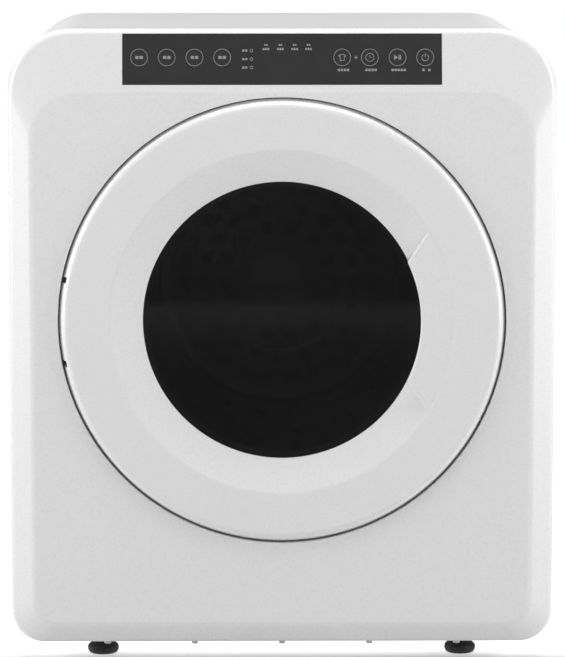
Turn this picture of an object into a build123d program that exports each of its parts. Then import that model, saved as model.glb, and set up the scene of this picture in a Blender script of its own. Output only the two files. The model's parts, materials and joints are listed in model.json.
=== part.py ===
from build123d import *
import os
from math import acos, atan2, cos, hypot, radians, sin

# Compact vented clothes dryer, front loading, built from its separate pieces.
# Millimetres. +Z is up, the door faces -Y, +X is on the right of a person facing the door.
# The origin is the middle of the overall footprint, on the floor.
# "Depth" is measured back from the flat field of the front panel.

# ---------------------------------------------------------------- driving dimensions
WIDTH = 495.0
BODY_BOTTOM = 19.0
BODY_TOP = 580.0
BODY_DEPTH = 394.2
DOOR_PROUD = 6.0
COLLAR_REACH = 26.8
TOP_CORNER = 58.0
BOTTOM_CORNER = 30.0
FRONT = DOOR_PROUD - (DOOR_PROUD + BODY_DEPTH + COLLAR_REACH) / 2
AXIS_Z = 316.0

# The flat field of the front, and the sloping bands round it
FIELD_HALF_WIDTH = 226.0
FIELD_BOTTOM = 37.0
FIELD_TOP = 523.0
FIELD_TOP_CORNER = 43.0
FIELD_BOTTOM_CORNER = 23.0
BAND_DEPTH = 12.0
BAND_RISE = BODY_TOP - FIELD_TOP
CREASE_ROUNDING = 11.0
EDGE_ROUNDING = 7.0

# Sheet and moulding thicknesses, and the step from the front panel in to the steel wrap
STEEL = 1.2
PLASTIC = 2.8
RIB = 2.0
WRAP_STEP = 2.0

# Upper and lower faces of the base pan
PAN_BOTTOM = BODY_BOTTOM + STEEL
PAN_TOP = PAN_BOTTOM + 1.5

# Depths of the main planes
PANEL_BACK = 34.0
WELL_FLOOR = 30.0
FRONT_BULKHEAD = 50.0
DRUM_FRONT = 57.0
DRUM_BACK = 318.0
REAR_BULKHEAD = 334.0
FAN_HOUSING_BACK = 365.2
REAR_PANEL = BODY_DEPTH - STEEL
COLLAR_END = BODY_DEPTH + COLLAR_REACH

# Door and porthole
DOOR_R = 200.0
DOOR_ROUNDING = 7.0
DOOR_FLARE = 1.6
WELL_R = 202.8
WELL_EDGE = 0.8
RIDGE_R = 156.0
RIDGE_ROUNDING = 6.0
WINDOW_R = 126.2
PORTHOLE_R = 150.0
DOOR_SKIN = 3.0
DOOR_SKIRT = 20.0
DOOR_BACK = 24.0
HINGE_X = -187.0
HINGE_DEPTH = -0.4
HINGE_PIN_R = 2.0
KNUCKLE_R = 3.4
KNUCKLE_POCKET = -4.1
LUG_SLOT = -3.5
LUG_RISE = 38.0
LUG_HALF = 2.2
LUG_FOOT_R = 3.0
SWITCH_RADIUS = 184.0
SWITCH_ANGLE = -35.0
DOOR_SCREW_RADIUS = 178.0
DOOR_SCREW_ANGLES = [22.5 + 45 * step for step in range(8)]
LEAF_SCREW_X = -166.0
LEAF_SCREW_RISE = 22.0
BRACKET_SCREW_X = -170.0
BRACKET_SCREW_RISE = 20.0
GRIP_FACE = -5.5
GRIP_BACK = -2.4
GRIP_EDGE = 1.0
GRIP_INNER_R = 125.4
GRIP_HALF_ANGLE = 26.5
GRIP_END_INNER = (109.0, 48.25)
GRIP_END_OUTER = (139.0, 93.25)

# Controls
STRIP_HALF_WIDTH = 143.5
STRIP_LOW = 7.2
STRIP_HIGH = 53.6
STRIP_THICKNESS = 1.2
KEY_R = 8.0
KEY_FIRST = 53.9
KEY_PITCH = 24.85
KEY_ROW = 32.0

# Drum, motor and fan
DRUM_R = 215.0
DRUM_RIM_R = 166.0
AXLE_R = 8.0
RUNNING_FIT = 0.05
CLEAR = 0.4
MOTOR_X = 150.0
MOTOR_Z = 85.0
MOTOR_R = 46.0
ROTOR_R = 27.5
SHAFT_R = 5.0
DRUM_PULLEY_R = 8.75
DRUM_BELT_DEPTH = 292.0
FAN_BELT_DEPTH = 372.0
BELT_WIDTH = 8.0
BELT_THICKNESS = 2.4
FAN_R = 80.0
FAN_PULLEY_R = 20.0
MOTOR_FAN_PULLEY_R = 30.0
COLLAR_R = 50.0
COLLAR_X = -125.0
COLLAR_Z = 178.0
COLLAR_SCREW_RADIUS = 56.0
GLAND_X = 190.0
GLAND_Z = 62.0
BLADES = 28
FINS = 16
BRACKET_ANGLES = (90, 210, 330)
FOOT_X = 165.5
FOOT_DEPTHS = (58.0, 352.0)
HEATER_LEFT = -44.0
HEATER_RIGHT = 50.0
HEATER_TOP = 160.0
HEATER_BOTTOM = 46.0

# Belt tensioner, under the lower run of the drum belt
TENSIONER_R = 14.0
TENSIONER_ALONG = 92.0
TENSIONER_PIVOT = (18.0, 50.0)

# The plane of the sloping top band: its local Y runs up the slope from the crease
BAND = Plane(origin=(0, FRONT, FIELD_TOP), x_dir=(1, 0, 0), z_dir=(0, -BAND_RISE, BAND_DEPTH))


# ---------------------------------------------------------------- helpers
def facing(depth):
    """A plane that faces the front at this depth; its local axes are X and Z."""
    return Plane.XZ.offset(-(FRONT + depth))


def turned(points, x=0.0, z=AXIS_Z, mode=Mode.ADD):
    """Revolve (depth, radius, optional corner rounding) points about the level axis through x, z."""
    with BuildSketch(Plane.YZ.offset(x)) as outline:
        with BuildLine():
            Polyline(*[(FRONT + point[0], z + point[1]) for point in points], close=True)
        make_face()
        for point in points:
            if len(point) == 3:
                corner = outline.vertices().sort_by_distance((FRONT + point[0], z + point[1], 0))[0]
                fillet(corner, point[2])
    revolve(outline.sketch, axis=Axis((x, 0, z), (0, 1, 0)), mode=mode)


def spun(points, x, y, mode=Mode.ADD):
    """Revolve (radius, height) points about the upright axis through x, y."""
    with BuildSketch(Plane.XZ.offset(-y)) as outline:
        with BuildLine():
            Polyline(*[(x + radius, height) for radius, height in points], close=True)
        make_face()
    revolve(outline.sketch, axis=Axis((x, y, 0), (0, 0, 1)), mode=mode)


def disc(depth, thickness, radius, x=0.0, z=AXIS_Z, mode=Mode.ADD):
    """A round plate or hole whose axis runs front to rear."""
    turned([(depth, 0), (depth, radius), (depth + thickness, radius), (depth + thickness, 0)], x, z, mode)


def block(x0, x1, depth0, depth1, z0, z1, mode=Mode.ADD):
    """A box between two corners, its depth measured back from the front field."""
    with Locations(((x0 + x1) / 2, FRONT + (depth0 + depth1) / 2, (z0 + z1) / 2)):
        Box(x1 - x0, depth1 - depth0, z1 - z0, mode=mode)


def round_frame(depth, half_width, bottom, top, bottom_corner, top_corner):
    """A rectangle with its own corner radii at the top and at the bottom."""
    with BuildSketch(facing(depth)) as frame:
        with Locations((0, (bottom + top) / 2)):
            Rectangle(2 * half_width, top - bottom)
        fillet(frame.vertices().group_by(Axis.Y)[-1], top_corner)
        fillet(frame.vertices().group_by(Axis.Y)[0], bottom_corner)
    return frame.sketch


def body_outline(depth, inset=0.0):
    """The cabinet's outline, pulled in by inset."""
    return round_frame(depth, WIDTH / 2 - inset, BODY_BOTTOM + inset, BODY_TOP - inset,
                       BOTTOM_CORNER - inset, TOP_CORNER - inset)


def wrap_outline(depth, inset=0.0):
    """The steel wrap's outline, which is flush with the cabinet's only along the bottom."""
    return round_frame(depth, WIDTH / 2 - WRAP_STEP - inset, BODY_BOTTOM + inset,
                       BODY_TOP - WRAP_STEP - inset, BOTTOM_CORNER - inset, TOP_CORNER - WRAP_STEP - inset)


def field_outline(depth, inset=0.0):
    """The outline of the flat field of the front, pulled in by inset."""
    return round_frame(depth, FIELD_HALF_WIDTH - inset, FIELD_BOTTOM + inset, FIELD_TOP - inset,
                       FIELD_BOTTOM_CORNER - inset, FIELD_TOP_CORNER - inset)


def turned_plane(depth, angle):
    """A plane that faces the front, centred on the drum's axis and turned about it by an angle."""
    across = (cos(radians(angle)), 0, sin(radians(angle)))
    return Plane(origin=(0, FRONT + depth, AXIS_Z), x_dir=across, z_dir=(0, -1, 0))


def around_axis(radius, angle):
    """X and Z of a point at this radius and angle from the drum's axis."""
    return radius * cos(radians(angle)), AXIS_Z + radius * sin(radians(angle))


def hull_of(depth, circles):
    """A sketch of the taut outline round some (x, z, radius) circles."""
    with BuildSketch(facing(depth)) as outline:
        with BuildLine():
            for x, z, radius in circles:
                CenterArc((x, z), radius, 0, 360)
        make_hull()
    return outline.sketch


def belt(depth, circles):
    """A flat belt running round some (x, z, radius) pulleys."""
    outer = [(x, z, radius + CLEAR + BELT_THICKNESS) for x, z, radius in circles]
    inner = [(x, z, radius + CLEAR) for x, z, radius in circles]
    extrude(hull_of(depth, outer), amount=-BELT_WIDTH)
    extrude(hull_of(depth - 1, inner), amount=-(BELT_WIDTH + 2), mode=Mode.SUBTRACT)


def panel_with_flange(depth, thickness, flange):
    """A pressed bulkhead that fills the cabinet, with a flange turned back at its edge."""
    extrude(wrap_outline(depth, STEEL + 0.25), amount=-flange)
    extrude(wrap_outline(depth + thickness, STEEL + 0.25 + thickness), amount=-flange, mode=Mode.SUBTRACT)
    block(-WIDTH, WIDTH, depth - 1, depth + flange + 1, 0, PAN_TOP + 0.2, mode=Mode.SUBTRACT)


pieces = {}


# ---------------------------------------------------------------- cabinet
SCREW_XS = [-160.0, -80.0, 0.0, 80.0, 160.0]
FRONT_SCREW_DEPTH = 18.0

with BuildPart() as front_panel:
    loft([field_outline(0), body_outline(BAND_DEPTH)])
    extrude(body_outline(BAND_DEPTH), amount=-(PANEL_BACK - BAND_DEPTH))
    fillet(front_panel.edges().filter_by_position(Axis.Y, FRONT + BAND_DEPTH - 0.1,
                                                  FRONT + BAND_DEPTH + 0.1), EDGE_ROUNDING)
    fillet(front_panel.edges().group_by(Axis.Y)[0], CREASE_ROUNDING)
    # the hollow inside
    loft([field_outline(PLASTIC, 1.6), body_outline(BAND_DEPTH + 2.4, PLASTIC)], mode=Mode.SUBTRACT)
    extrude(body_outline(BAND_DEPTH + 2.4, PLASTIC), amount=-PANEL_BACK, mode=Mode.SUBTRACT)
    # the ledge and the lip that slides inside the steel wrap, left off along the bottom
    extrude(body_outline(PANEL_BACK - 4, 1.0), amount=-4)
    extrude(wrap_outline(PANEL_BACK - 4, STEEL + 0.25), amount=-11)
    extrude(wrap_outline(PANEL_BACK - 5, STEEL + 0.25 + RIB), amount=-14, mode=Mode.SUBTRACT)
    block(-220, 220, PANEL_BACK - 5, 60, BODY_BOTTOM + PLASTIC, 40, mode=Mode.SUBTRACT)
    block(-220, 220, PANEL_BACK, 60, 0, 40, mode=Mode.SUBTRACT)
    # the round well that the door closes into, and the neck towards the drum
    disc(-10, 10 + PLASTIC + 0.5, WELL_R, mode=Mode.SUBTRACT)
    fillet(front_panel.edges().filter_by(GeomType.CIRCLE).group_by(SortBy.RADIUS)[-1].sort_by(Axis.Y)[0],
           WELL_EDGE)
    turned([(0.9, WELL_R), (WELL_FLOOR, WELL_R, 3.0), (WELL_FLOOR, PORTHOLE_R, 2.0), (47.6, PORTHOLE_R),
            (47.6, PORTHOLE_R + 2.5), (WELL_FLOOR + 2.5, PORTHOLE_R + 2.5), (WELL_FLOOR + 2.5, WELL_R + 2.8),
            (0.9, WELL_R + 2.8)])
    # the seat of the control strip, the key holes, the display window and the board's posts
    with BuildSketch(BAND.offset(-STRIP_THICKNESS)):
        with Locations((0, (STRIP_LOW + STRIP_HIGH) / 2)):
            Rectangle(2 * STRIP_HALF_WIDTH + 0.3, STRIP_HIGH - STRIP_LOW + 0.3)
    extrude(amount=3, mode=Mode.SUBTRACT)
    with BuildSketch(BAND):
        for side in (-1, 1):
            for step in range(4):
                with Locations((side * (KEY_FIRST + step * KEY_PITCH), KEY_ROW)):
                    Circle(KEY_R + 1.0)
        with Locations((0, 29)):
            Rectangle(76, 30)
    extrude(amount=-6, mode=Mode.SUBTRACT)
    with BuildSketch(BAND.offset(-STRIP_THICKNESS - 0.6)):
        with Locations((-136, 11.5), (136, 11.5), (-136, 48.5), (136, 48.5)):
            Circle(3)
    extrude(amount=-(13.4 - STRIP_THICKNESS - 0.6))
    # holes: bottom screws, hinge screws, door switch
    for x in SCREW_XS:
        spun([(0, 10), (2.2, 10), (2.2, 24), (0, 24)], x, FRONT + FRONT_SCREW_DEPTH, mode=Mode.SUBTRACT)
    for rise in (-BRACKET_SCREW_RISE, BRACKET_SCREW_RISE):
        disc(WELL_FLOOR - 1, 5, 1.9, x=BRACKET_SCREW_X, z=AXIS_Z + rise, mode=Mode.SUBTRACT)
    disc(WELL_FLOOR - 1, 5, 2.9, *around_axis(SWITCH_RADIUS, SWITCH_ANGLE), mode=Mode.SUBTRACT)
pieces["front_panel"] = front_panel

with BuildPart() as front_panel_screws:
    for x in SCREW_XS:
        spun([(0, 16.4), (2.2, 16.4), (3.0, 17.2), (3.0, BODY_BOTTOM), (1.9, BODY_BOTTOM), (1.9, 26),
              (0, 27.5)], x, FRONT + FRONT_SCREW_DEPTH)
pieces["front_panel_screws"] = front_panel_screws

WRAP_FRONT = PANEL_BACK + 0.3
REAR_FLANGE = 12.0
REAR_SCREW_INSET = 7.0
REAR_SCREWS = [(side * (WIDTH / 2 - WRAP_STEP - REAR_SCREW_INSET), z) for side in (-1, 1)
               for z in (80, 220, 360, 500)]
REAR_SCREWS += [(x, BODY_TOP - WRAP_STEP - REAR_SCREW_INSET) for x in (-150, 0, 150)]

with BuildPart() as cabinet_wrap:
    extrude(wrap_outline(WRAP_FRONT), amount=-(REAR_PANEL - WRAP_FRONT))
    extrude(wrap_outline(WRAP_FRONT - 1, STEEL), amount=-(REAR_PANEL - STEEL - WRAP_FRONT + 1),
            mode=Mode.SUBTRACT)
    extrude(wrap_outline(REAR_PANEL - 5, REAR_FLANGE), amount=-10, mode=Mode.SUBTRACT)
    block(-205, 205, 0, REAR_PANEL + 5, 0, BODY_BOTTOM + REAR_FLANGE + 2, mode=Mode.SUBTRACT)
    for x, z in REAR_SCREWS:
        disc(REAR_PANEL - 5, 8, 2.0, x=x, z=z, mode=Mode.SUBTRACT)
pieces["cabinet_wrap"] = cabinet_wrap

with BuildPart() as base_pan:
    block(-216, 216, 36.5, REAR_PANEL - 2, PAN_BOTTOM, PAN_TOP)
    block(-205, 205, 36.5, 38, PAN_BOTTOM, 23.5)
    block(-205, 205, 14.6, 38, 22.0, 23.5)
    for side in (-1, 1):
        block(side * 215.25 - 0.75, side * 215.25 + 0.75, 64, REAR_BULKHEAD - 4, PAN_TOP - 0.5, 34)
    for x in SCREW_XS:
        spun([(0, 20), (2.0, 20), (2.0, 26), (0, 26)], x, FRONT + FRONT_SCREW_DEPTH, mode=Mode.SUBTRACT)
    for x in (-FOOT_X, FOOT_X):
        for depth in FOOT_DEPTHS:
            spun([(0, 10), (5.3, 10), (5.3, 30), (0, 30)], x, FRONT + depth, mode=Mode.SUBTRACT)
pieces["base_pan"] = base_pan

with BuildPart() as feet:
    for x in (-FOOT_X, FOOT_X):
        for depth in FOOT_DEPTHS:
            spun([(0, 0), (11.2, 0), (13.0, 0.9), (14.2, 3.0), (14.5, 5.4), (13.9, 7.6), (10.6, 10.4),
                  (9.3, 12.6), (9.0, PAN_BOTTOM), (5.1, PAN_BOTTOM), (5.1, 24.5), (0, 24.5)],
                 x, FRONT + depth)
pieces["feet"] = feet


COLLAR_SCREWS = [(COLLAR_X + COLLAR_SCREW_RADIUS * cos(radians(angle)),
                  COLLAR_Z + COLLAR_SCREW_RADIUS * sin(radians(angle))) for angle in range(45, 360, 90)]
COLLAR_FLANGE = BODY_DEPTH + 0.2
COLLAR_FLANGE_BACK = COLLAR_FLANGE + 2.2


def collar_screw_holes(depth):
    """Cut the four screw holes of the exhaust collar's flange."""
    for x, z in COLLAR_SCREWS:
        disc(depth, 5, 1.9, x=x, z=z, mode=Mode.SUBTRACT)


def rear_screw(x, z, seat):
    """A pan-head screw whose head rests on the sheet that ends at this depth."""
    turned([(REAR_PANEL - 6, 0), (REAR_PANEL - 5, 1.7), (seat, 1.7), (seat, 3.8), (seat + 1.2, 3.6),
            (seat + 2.0, 2.0), (seat + 2.0, 0)], x, z)


with BuildPart() as rear_panel:
    extrude(wrap_outline(REAR_PANEL, 1.6), amount=-STEEL)
    disc(REAR_PANEL - 1, 5, COLLAR_R + 0.4, x=COLLAR_X, z=COLLAR_Z, mode=Mode.SUBTRACT)
    disc(REAR_PANEL - 1, 5, 9.2, x=GLAND_X, z=GLAND_Z, mode=Mode.SUBTRACT)
    with BuildSketch(facing(REAR_PANEL - 1)):
        # the air intake in front of the heater, and two vents for the motor and the fan space
        with Locations(((HEATER_LEFT + HEATER_RIGHT) / 2, 82)):
            with GridLocations(0, 9, 1, 7):
                SlotOverall(80, 4)
        with Locations((150, 120), (110, 440), (-110, 440)):
            with GridLocations(0, 9, 1, 6):
                SlotOverall(90, 4)
    extrude(amount=-5, mode=Mode.SUBTRACT)
    for x, z in REAR_SCREWS:
        disc(REAR_PANEL - 1, 5, 2.0, x=x, z=z, mode=Mode.SUBTRACT)
    collar_screw_holes(REAR_PANEL - 1)
pieces["rear_panel"] = rear_panel

with BuildPart() as rear_panel_screws:
    for x, z in REAR_SCREWS:
        rear_screw(x, z, BODY_DEPTH)
    for x, z in COLLAR_SCREWS:
        rear_screw(x, z, COLLAR_FLANGE_BACK)
pieces["rear_panel_screws"] = rear_panel_screws

with BuildPart() as exhaust_collar:
    turned([(FAN_HOUSING_BACK - 1.5, COLLAR_R - 2.5), (COLLAR_END, COLLAR_R - 2.5), (COLLAR_END, COLLAR_R),
            (COLLAR_FLANGE_BACK, COLLAR_R), (COLLAR_FLANGE_BACK, COLLAR_R + 12),
            (COLLAR_FLANGE, COLLAR_R + 12), (COLLAR_FLANGE, COLLAR_R), (FAN_HOUSING_BACK - 1.5, COLLAR_R)],
           COLLAR_X, COLLAR_Z)
    collar_screw_holes(COLLAR_FLANGE - 1)
pieces["exhaust_collar"] = exhaust_collar

with BuildPart() as cord_gland:
    turned([(REAR_PANEL - 8, 3.7), (BODY_DEPTH + 5, 3.7), (BODY_DEPTH + 5, 7), (BODY_DEPTH + 2.4, 12),
            (BODY_DEPTH + 0.1, 13), (BODY_DEPTH + 0.1, 9), (REAR_PANEL - 0.2, 9), (REAR_PANEL - 0.2, 12),
            (REAR_PANEL - 4, 12), (REAR_PANEL - 4, 8), (REAR_PANEL - 8, 8)], GLAND_X, GLAND_Z)
pieces["cord_gland"] = cord_gland


# ---------------------------------------------------------------- controls
def key_places():
    """Centres of the eight keys on the band plane, from left to right."""
    reach = [KEY_FIRST + step * KEY_PITCH for step in range(4)]
    return [(-x, KEY_ROW) for x in reversed(reach)] + [(x, KEY_ROW) for x in reach]


with BuildPart() as control_strip:
    with BuildSketch(BAND.offset(-STRIP_THICKNESS)):
        with Locations((0, (STRIP_LOW + STRIP_HIGH) / 2)):
            Rectangle(2 * STRIP_HALF_WIDTH, STRIP_HIGH - STRIP_LOW)
        with Locations(*key_places()):
            Circle(KEY_R + 0.35, mode=Mode.SUBTRACT)
    extrude(amount=STRIP_THICKNESS)
pieces["control_strip"] = control_strip

BOARD_FRONT = 13.4
with BuildPart() as control_board:
    with BuildSketch(BAND.offset(-BOARD_FRONT)):
        with Locations((0, 30)):
            Rectangle(280, 44)
    extrude(amount=-1.6)
    # tact switches, the display block and the tall parts of the supply
    with BuildSketch(BAND.offset(-BOARD_FRONT)):
        with Locations(*key_places()):
            Rectangle(6, 6)
    extrude(amount=3.6)
    with BuildSketch(BAND.offset(-BOARD_FRONT + 3.6)):
        with Locations(*key_places()):
            Circle(1.75)
    extrude(amount=0.6)
    with BuildSketch(BAND.offset(-BOARD_FRONT)):
        with Locations((0, 29)):
            Rectangle(70, 24)
    extrude(amount=9)
    with BuildSketch(BAND.offset(-BOARD_FRONT - 1.6)):
        with Locations((-95, 36)):
            Rectangle(24, 18)
        with Locations((-60, 38)):
            Circle(8)
        with Locations((70, 38)):
            Rectangle(32, 12)
    extrude(amount=-7)
pieces["control_board"] = control_board

for number, (key_x, key_v) in enumerate(key_places(), start=1):
    with BuildPart() as key:
        with BuildSketch(BAND.offset(-2.6)):
            with Locations((key_x, key_v)):
                Circle(KEY_R)
        extrude(amount=2.75)
        fillet(key.edges().sort_by(Axis.Y)[0], 0.4)
        with BuildSketch(BAND.offset(-8.3)):
            with Locations((key_x, key_v)):
                Circle(3)
        extrude(amount=5.7)
    pieces[f"key_{number}"] = key


# ---------------------------------------------------------------- door
def sector(depth, thickness, inner, outer, half_angle, mode):
    """Part of a ring, centred on the right-hand side of the door."""
    with BuildSketch(facing(depth)) as wedge:
        with Locations((0, AXIS_Z)):
            Circle(outer)
            Circle(inner, mode=Mode.SUBTRACT)
        with BuildLine():
            Polyline((0, AXIS_Z), around_axis(outer * 1.5, half_angle),
                     around_axis(outer * 1.5, -half_angle), close=True)
        make_face(mode=Mode.INTERSECT)
    extrude(wedge.sketch, amount=-thickness, mode=mode)


def grip_outline(depth, inset=0.0):
    """The grip plate's face, pulled in by inset along the window and at both ends."""
    end_inner, end_outer = Vector(*GRIP_END_INNER), Vector(*GRIP_END_OUTER)
    along = (end_outer - end_inner).normalized()
    inward = Vector(along.Y, -along.X) * inset
    corners = (end_inner + inward, end_outer + inward, Vector(DOOR_R, end_outer.Y))
    upper = [(corner.X, corner.Y) for corner in corners]
    with BuildSketch(facing(depth)) as face:
        with Locations((0, AXIS_Z)):
            Circle(RIDGE_R + 6)
            Circle(GRIP_INNER_R + inset, mode=Mode.SUBTRACT)
        with BuildLine():
            Polyline(*[(x, AXIS_Z + rise) for x, rise in upper],
                     *[(x, AXIS_Z - rise) for x, rise in reversed(upper)], close=True)
        make_face(mode=Mode.INTERSECT)
    return face.sketch


def lug_slots():
    """Cut the two slots that let the fixed hinge lugs into the door."""
    for rise in (-LUG_RISE, LUG_RISE):
        block(-205, -167, LUG_SLOT, 30, AXIS_Z + rise - LUG_HALF - 0.6, AXIS_Z + rise + LUG_HALF + 0.6,
              mode=Mode.SUBTRACT)


with BuildPart() as door_outer_ring:
    turned([(DOOR_SKIRT, DOOR_R + DOOR_FLARE), (5, DOOR_R + DOOR_FLARE), (1.2, DOOR_R),
            (-DOOR_PROUD, DOOR_R, DOOR_ROUNDING), (-DOOR_PROUD, RIDGE_R, RIDGE_ROUNDING),
            (9, WINDOW_R, 0.7), (10.8, WINDOW_R), (10.8, 133.4), (15, 133.4), (15, 136), (7.6, 136),
            (DOOR_SKIN - DOOR_PROUD, 157), (DOOR_SKIN - DOOR_PROUD, DOOR_R - 3, 4.0),
            (DOOR_SKIRT, DOOR_R - 3)])
    for angle in DOOR_SCREW_ANGLES:
        disc(-4, 24.8, 5.0, *around_axis(DOOR_SCREW_RADIUS, angle))
    for rise in (-LEAF_SCREW_RISE, LEAF_SCREW_RISE):
        disc(-4, 8.3, 5.0, x=LEAF_SCREW_X, z=AXIS_Z + rise)
    # the finger pocket on the right, behind the grip plate that bridges the funnel
    sector(-4, 23.5, 133.4, 155.5, GRIP_HALF_ANGLE + 1.5, Mode.ADD)
    sector(GRIP_BACK, 19.4, 136, 152.5, GRIP_HALF_ANGLE, Mode.SUBTRACT)
    sector(GRIP_BACK, 9 - GRIP_BACK, 120, 137, GRIP_HALF_ANGLE, Mode.SUBTRACT)
    extrude(grip_outline(GRIP_FACE + GRIP_EDGE), amount=-(GRIP_BACK - GRIP_FACE - GRIP_EDGE))
    loft([grip_outline(GRIP_FACE + GRIP_EDGE), grip_outline(GRIP_FACE, GRIP_EDGE)])
    # the knuckles and the pin lie in a shallow channel of the skin
    block(HINGE_X - KNUCKLE_R - 0.6, HINGE_X + KNUCKLE_R + 0.6, KNUCKLE_POCKET, -2, AXIS_Z - 44, AXIS_Z + 44,
          mode=Mode.SUBTRACT)
    lug_slots()
    for angle in DOOR_SCREW_ANGLES:
        disc(4, 20, 1.7, *around_axis(DOOR_SCREW_RADIUS, angle), mode=Mode.SUBTRACT)
    for rise in (-LEAF_SCREW_RISE, LEAF_SCREW_RISE):
        disc(-1, 8, 1.7, x=LEAF_SCREW_X, z=AXIS_Z + rise, mode=Mode.SUBTRACT)
pieces["door_outer_ring"] = door_outer_ring

with BuildPart() as door_inner_ring:
    turned([(DOOR_BACK, 196.4, 2.0), (DOOR_BACK - 3, 196.4), (DOOR_BACK - 3, 131), (14.3, 131), (14.3, 128),
            (18.4, 128), (18.4, 121.5), (DOOR_BACK, 121.5, 1.5)])
    lug_slots()
    for angle in DOOR_SCREW_ANGLES:
        disc(10, 20, 2.0, *around_axis(DOOR_SCREW_RADIUS, angle), mode=Mode.SUBTRACT)
pieces["door_inner_ring"] = door_inner_ring

with BuildPart() as door_window:
    turned([(11.0, 0), (11.0, 133.0, 0.8), (14.0, 133.0), (14.0, 0)])
pieces["door_window"] = door_window

with BuildPart() as door_bowl:
    turned([(16.2, 0), (16.2, 127.6), (18.2, 127.6), (18.2, 119.5), (35, 112, 5.0), (40, 98, 8.0), (40, 0)])
    turned([(16.1, 0), (16.1, 117), (33.2, 109.4, 4.0), (37.5, 97, 6.0), (37.5, 0)], mode=Mode.SUBTRACT)
pieces["door_bowl"] = door_bowl

with BuildPart() as door_gasket:
    lip = WELL_FLOOR - CLEAR
    turned([(DOOR_BACK, 152), (DOOR_BACK, 163), (26, 163), (lip, 160, 0.8), (lip, 156, 0.8), (26.4, 157),
            (26, 152)])
pieces["door_gasket"] = door_gasket

with BuildPart() as door_screws:
    for angle in DOOR_SCREW_ANGLES:
        turned([(8, 0), (8, 1.6), (DOOR_BACK, 1.6), (DOOR_BACK, 3.6), (DOOR_BACK + 1.2, 3.4),
                (DOOR_BACK + 1.9, 2), (DOOR_BACK + 1.9, 0)], *around_axis(DOOR_SCREW_RADIUS, angle))
    for rise in (-LEAF_SCREW_RISE, LEAF_SCREW_RISE):
        turned([(0.5, 0), (0.5, 1.6), (6.4, 1.6), (6.4, 3.4), (8.0, 2.6), (8.0, 0)],
               LEAF_SCREW_X, AXIS_Z + rise)
pieces["door_screws"] = door_screws

LEAF_HALF_HEIGHT = LUG_RISE - LUG_HALF - 0.5
with BuildPart() as door_hinge_leaf:
    block(HINGE_X, -157, 4.4, 6.4, AXIS_Z - LEAF_HALF_HEIGHT, AXIS_Z + LEAF_HALF_HEIGHT)
    with BuildSketch(Plane.XY.offset(AXIS_Z - LEAF_HALF_HEIGHT)) as knuckle:
        with BuildLine():
            CenterArc((HINGE_X, FRONT + HINGE_DEPTH), KNUCKLE_R, 0, 360)
            CenterArc((HINGE_X + 4, FRONT + 5.4), 1.0, 0, 360)
        make_hull()
    extrude(knuckle.sketch, amount=2 * LEAF_HALF_HEIGHT)
    with BuildSketch(Plane.XY.offset(AXIS_Z - LEAF_HALF_HEIGHT - 1)):
        with Locations((HINGE_X, FRONT + HINGE_DEPTH)):
            Circle(HINGE_PIN_R + RUNNING_FIT)
    extrude(amount=2 * LEAF_HALF_HEIGHT + 2, mode=Mode.SUBTRACT)
    for rise in (-LEAF_SCREW_RISE, LEAF_SCREW_RISE):
        disc(4, 3, 1.9, x=LEAF_SCREW_X, z=AXIS_Z + rise, mode=Mode.SUBTRACT)
pieces["door_hinge_leaf"] = door_hinge_leaf

with BuildPart() as door_strike_plate:
    block(174, 191, DOOR_BACK, DOOR_BACK + 1.2, AXIS_Z - 16, AXIS_Z + 16)
    fillet(door_strike_plate.edges().filter_by(Axis.Y), 3)
pieces["door_strike_plate"] = door_strike_plate

with BuildPart() as door_magnet:
    block(175, 190, DOOR_BACK + 1.7, WELL_FLOOR - 0.1, AXIS_Z - 14, AXIS_Z + 14)
    fillet(door_magnet.edges().filter_by(Axis.Y), 2)
pieces["door_magnet"] = door_magnet

with BuildPart() as hinge_bracket:
    block(-181, -164, 27.5, WELL_FLOOR - 0.1, AXIS_Z - 44, AXIS_Z + 44)
    for rise in (-LUG_RISE, LUG_RISE):
        with BuildSketch(Plane.XY.offset(AXIS_Z + rise - LUG_HALF)) as lug:
            with BuildLine():
                CenterArc((HINGE_X, FRONT + HINGE_DEPTH), KNUCKLE_R, 0, 360)
                CenterArc((-172, FRONT + 25.5), LUG_FOOT_R, 0, 360)
            make_hull()
        extrude(lug.sketch, amount=2 * LUG_HALF)
        with BuildSketch(Plane.XY.offset(AXIS_Z + rise - 4)) as bore:
            with Locations((HINGE_X, FRONT + HINGE_DEPTH)):
                Circle(HINGE_PIN_R + 0.02)
        extrude(bore.sketch, amount=8, mode=Mode.SUBTRACT)
    for rise in (-BRACKET_SCREW_RISE, BRACKET_SCREW_RISE):
        disc(26, 6, 1.9, x=BRACKET_SCREW_X, z=AXIS_Z + rise, mode=Mode.SUBTRACT)
pieces["hinge_bracket"] = hinge_bracket

with BuildPart() as hinge_pin:
    spun([(0, AXIS_Z - 43), (HINGE_PIN_R, AXIS_Z - 43), (HINGE_PIN_R, AXIS_Z + 41.2), (3.2, AXIS_Z + 41.2),
          (3.2, AXIS_Z + 42.8), (0, AXIS_Z + 42.8)], HINGE_X, FRONT + HINGE_DEPTH)
pieces["hinge_pin"] = hinge_pin

with BuildPart() as hinge_screws:
    for rise in (-BRACKET_SCREW_RISE, BRACKET_SCREW_RISE):
        turned([(25.9, 0), (25.9, 2.4), (27.5, 3.4), (27.5, 1.7), (38, 1.7), (40, 0)],
               BRACKET_SCREW_X, AXIS_Z + rise)
pieces["hinge_screws"] = hinge_screws

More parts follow.
